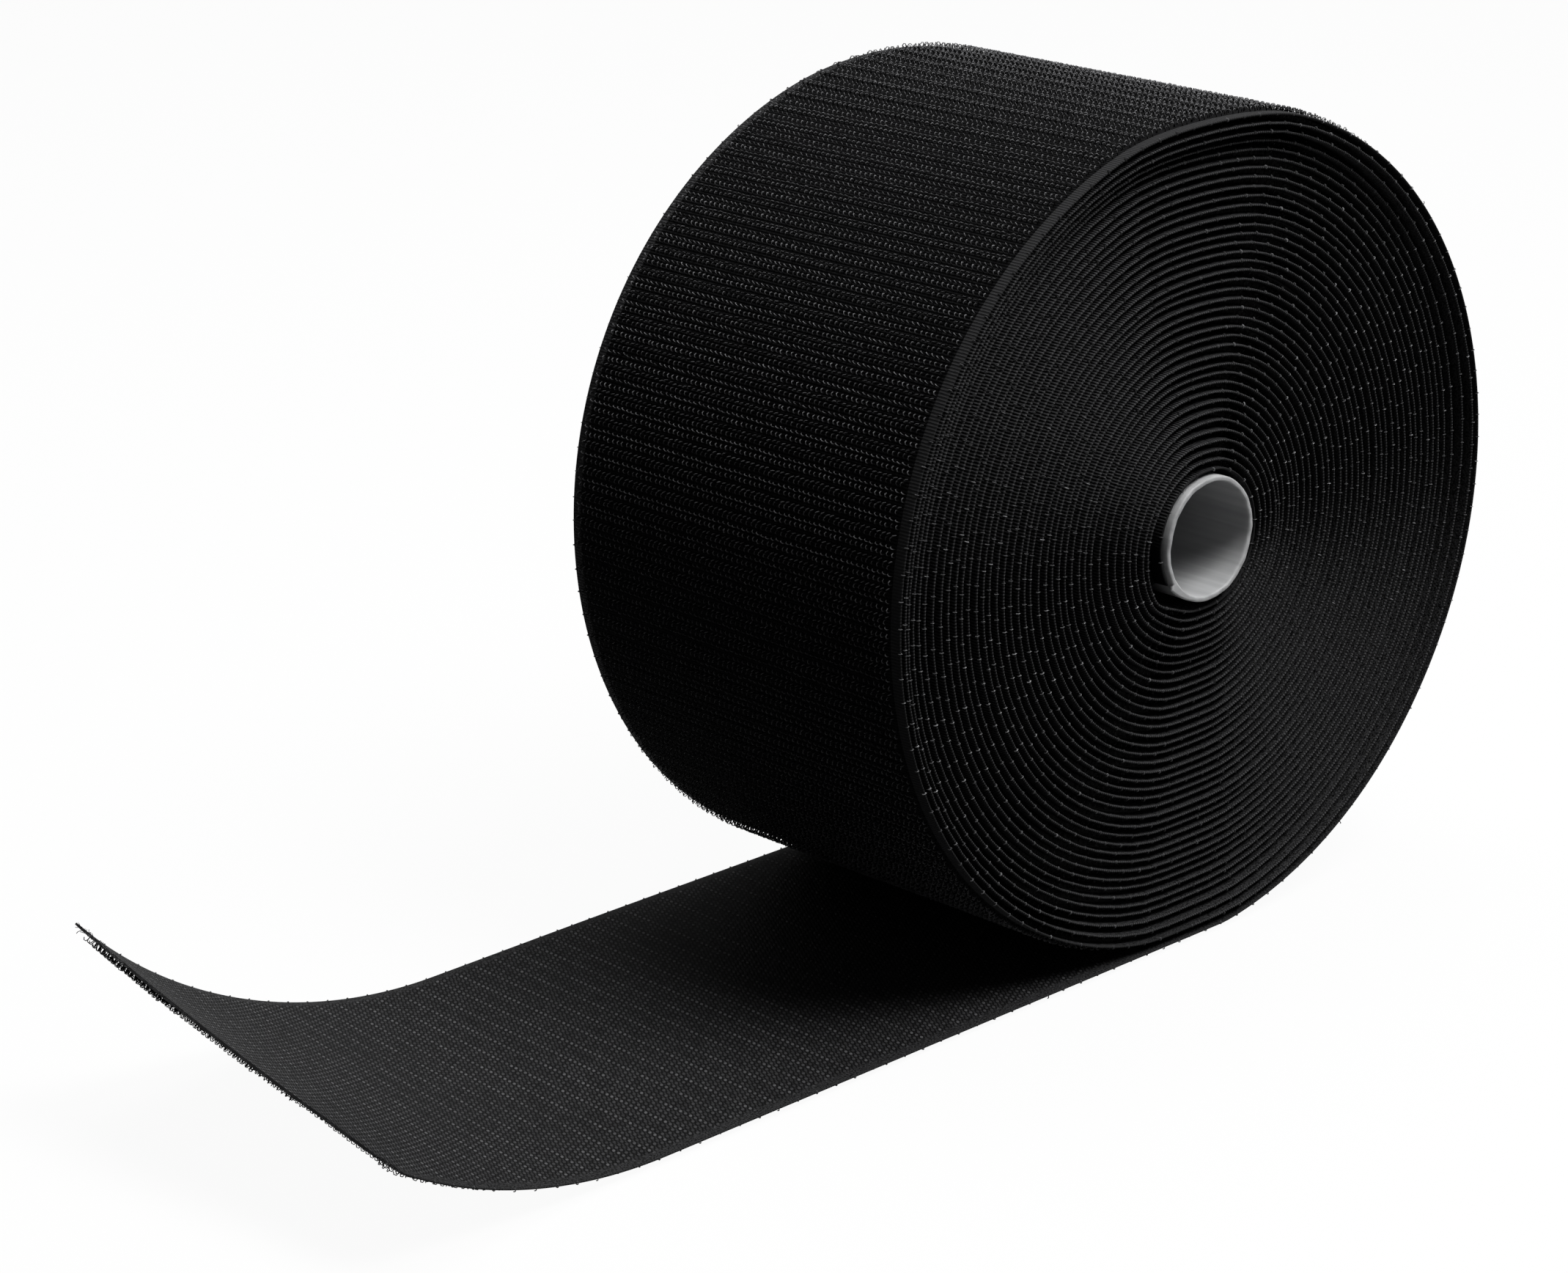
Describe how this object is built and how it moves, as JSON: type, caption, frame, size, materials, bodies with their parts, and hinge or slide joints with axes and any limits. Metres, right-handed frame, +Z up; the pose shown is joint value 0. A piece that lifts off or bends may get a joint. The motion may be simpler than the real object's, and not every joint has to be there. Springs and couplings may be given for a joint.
{
  "type": "hook and loop tape roll",
  "caption": "Roll of wide black woven hook tape wound hooks-out on a thin plastic core tube, with a loose end that lies out on the floor, curls up at its cut and can be lifted.",
  "frame": {"origin": "middle of the roll's flat foot on the floor, straight under the core's axis and halfway across the tape", "axes": "+Z up, +Y along the core's axis away from the pictured end face, -X along the loose end"},
  "size_m": [0.3257, 0.102, 0.1872],
  "materials": {
    "core": "milky extruded plastic",
    "tape_ground": "black woven tape",
    "hooks": "black monofilament hooks"
  },
  "bodies": {
    "roll": {"core_tube": "core", "winding_inner": "tape_ground", "winding_outer": "tape_ground", "outer_turn": "tape_ground", "outer_turn_hooks": "hooks"},
    "tail_root": {"tail_root": "tape_ground", "tail_root_hooks": "hooks"},
    "tail_mid": {"tail_mid": "tape_ground", "tail_mid_hooks": "hooks"},
    "tail_tip": {"tail_tip": "tape_ground", "tail_tip_hooks": "hooks"}
  },
  "joints": [
    {"name": "tail_lift", "type": "hinge", "parent": "roll", "child": "tail_root", "pos_m": [-0.014, 0, 0.00145], "axis": [0, 1, 0], "range_deg": [0, 12], "stiffness_Nm_per_rad": 0.01},
    {"name": "tail_bend", "type": "hinge", "parent": "tail_root", "child": "tail_mid", "pos_m": [-0.07, 0, 0.00145], "axis": [0, 1, 0], "range_deg": [0, 28], "stiffness_Nm_per_rad": 0.01},
    {"name": "tail_curl", "type": "hinge", "parent": "tail_mid", "child": "tail_tip", "pos_m": [-0.13, 0, 0.00145], "axis": [0, 1, 0], "range_deg": [0, 42], "stiffness_Nm_per_rad": 0.01}
  ]
}
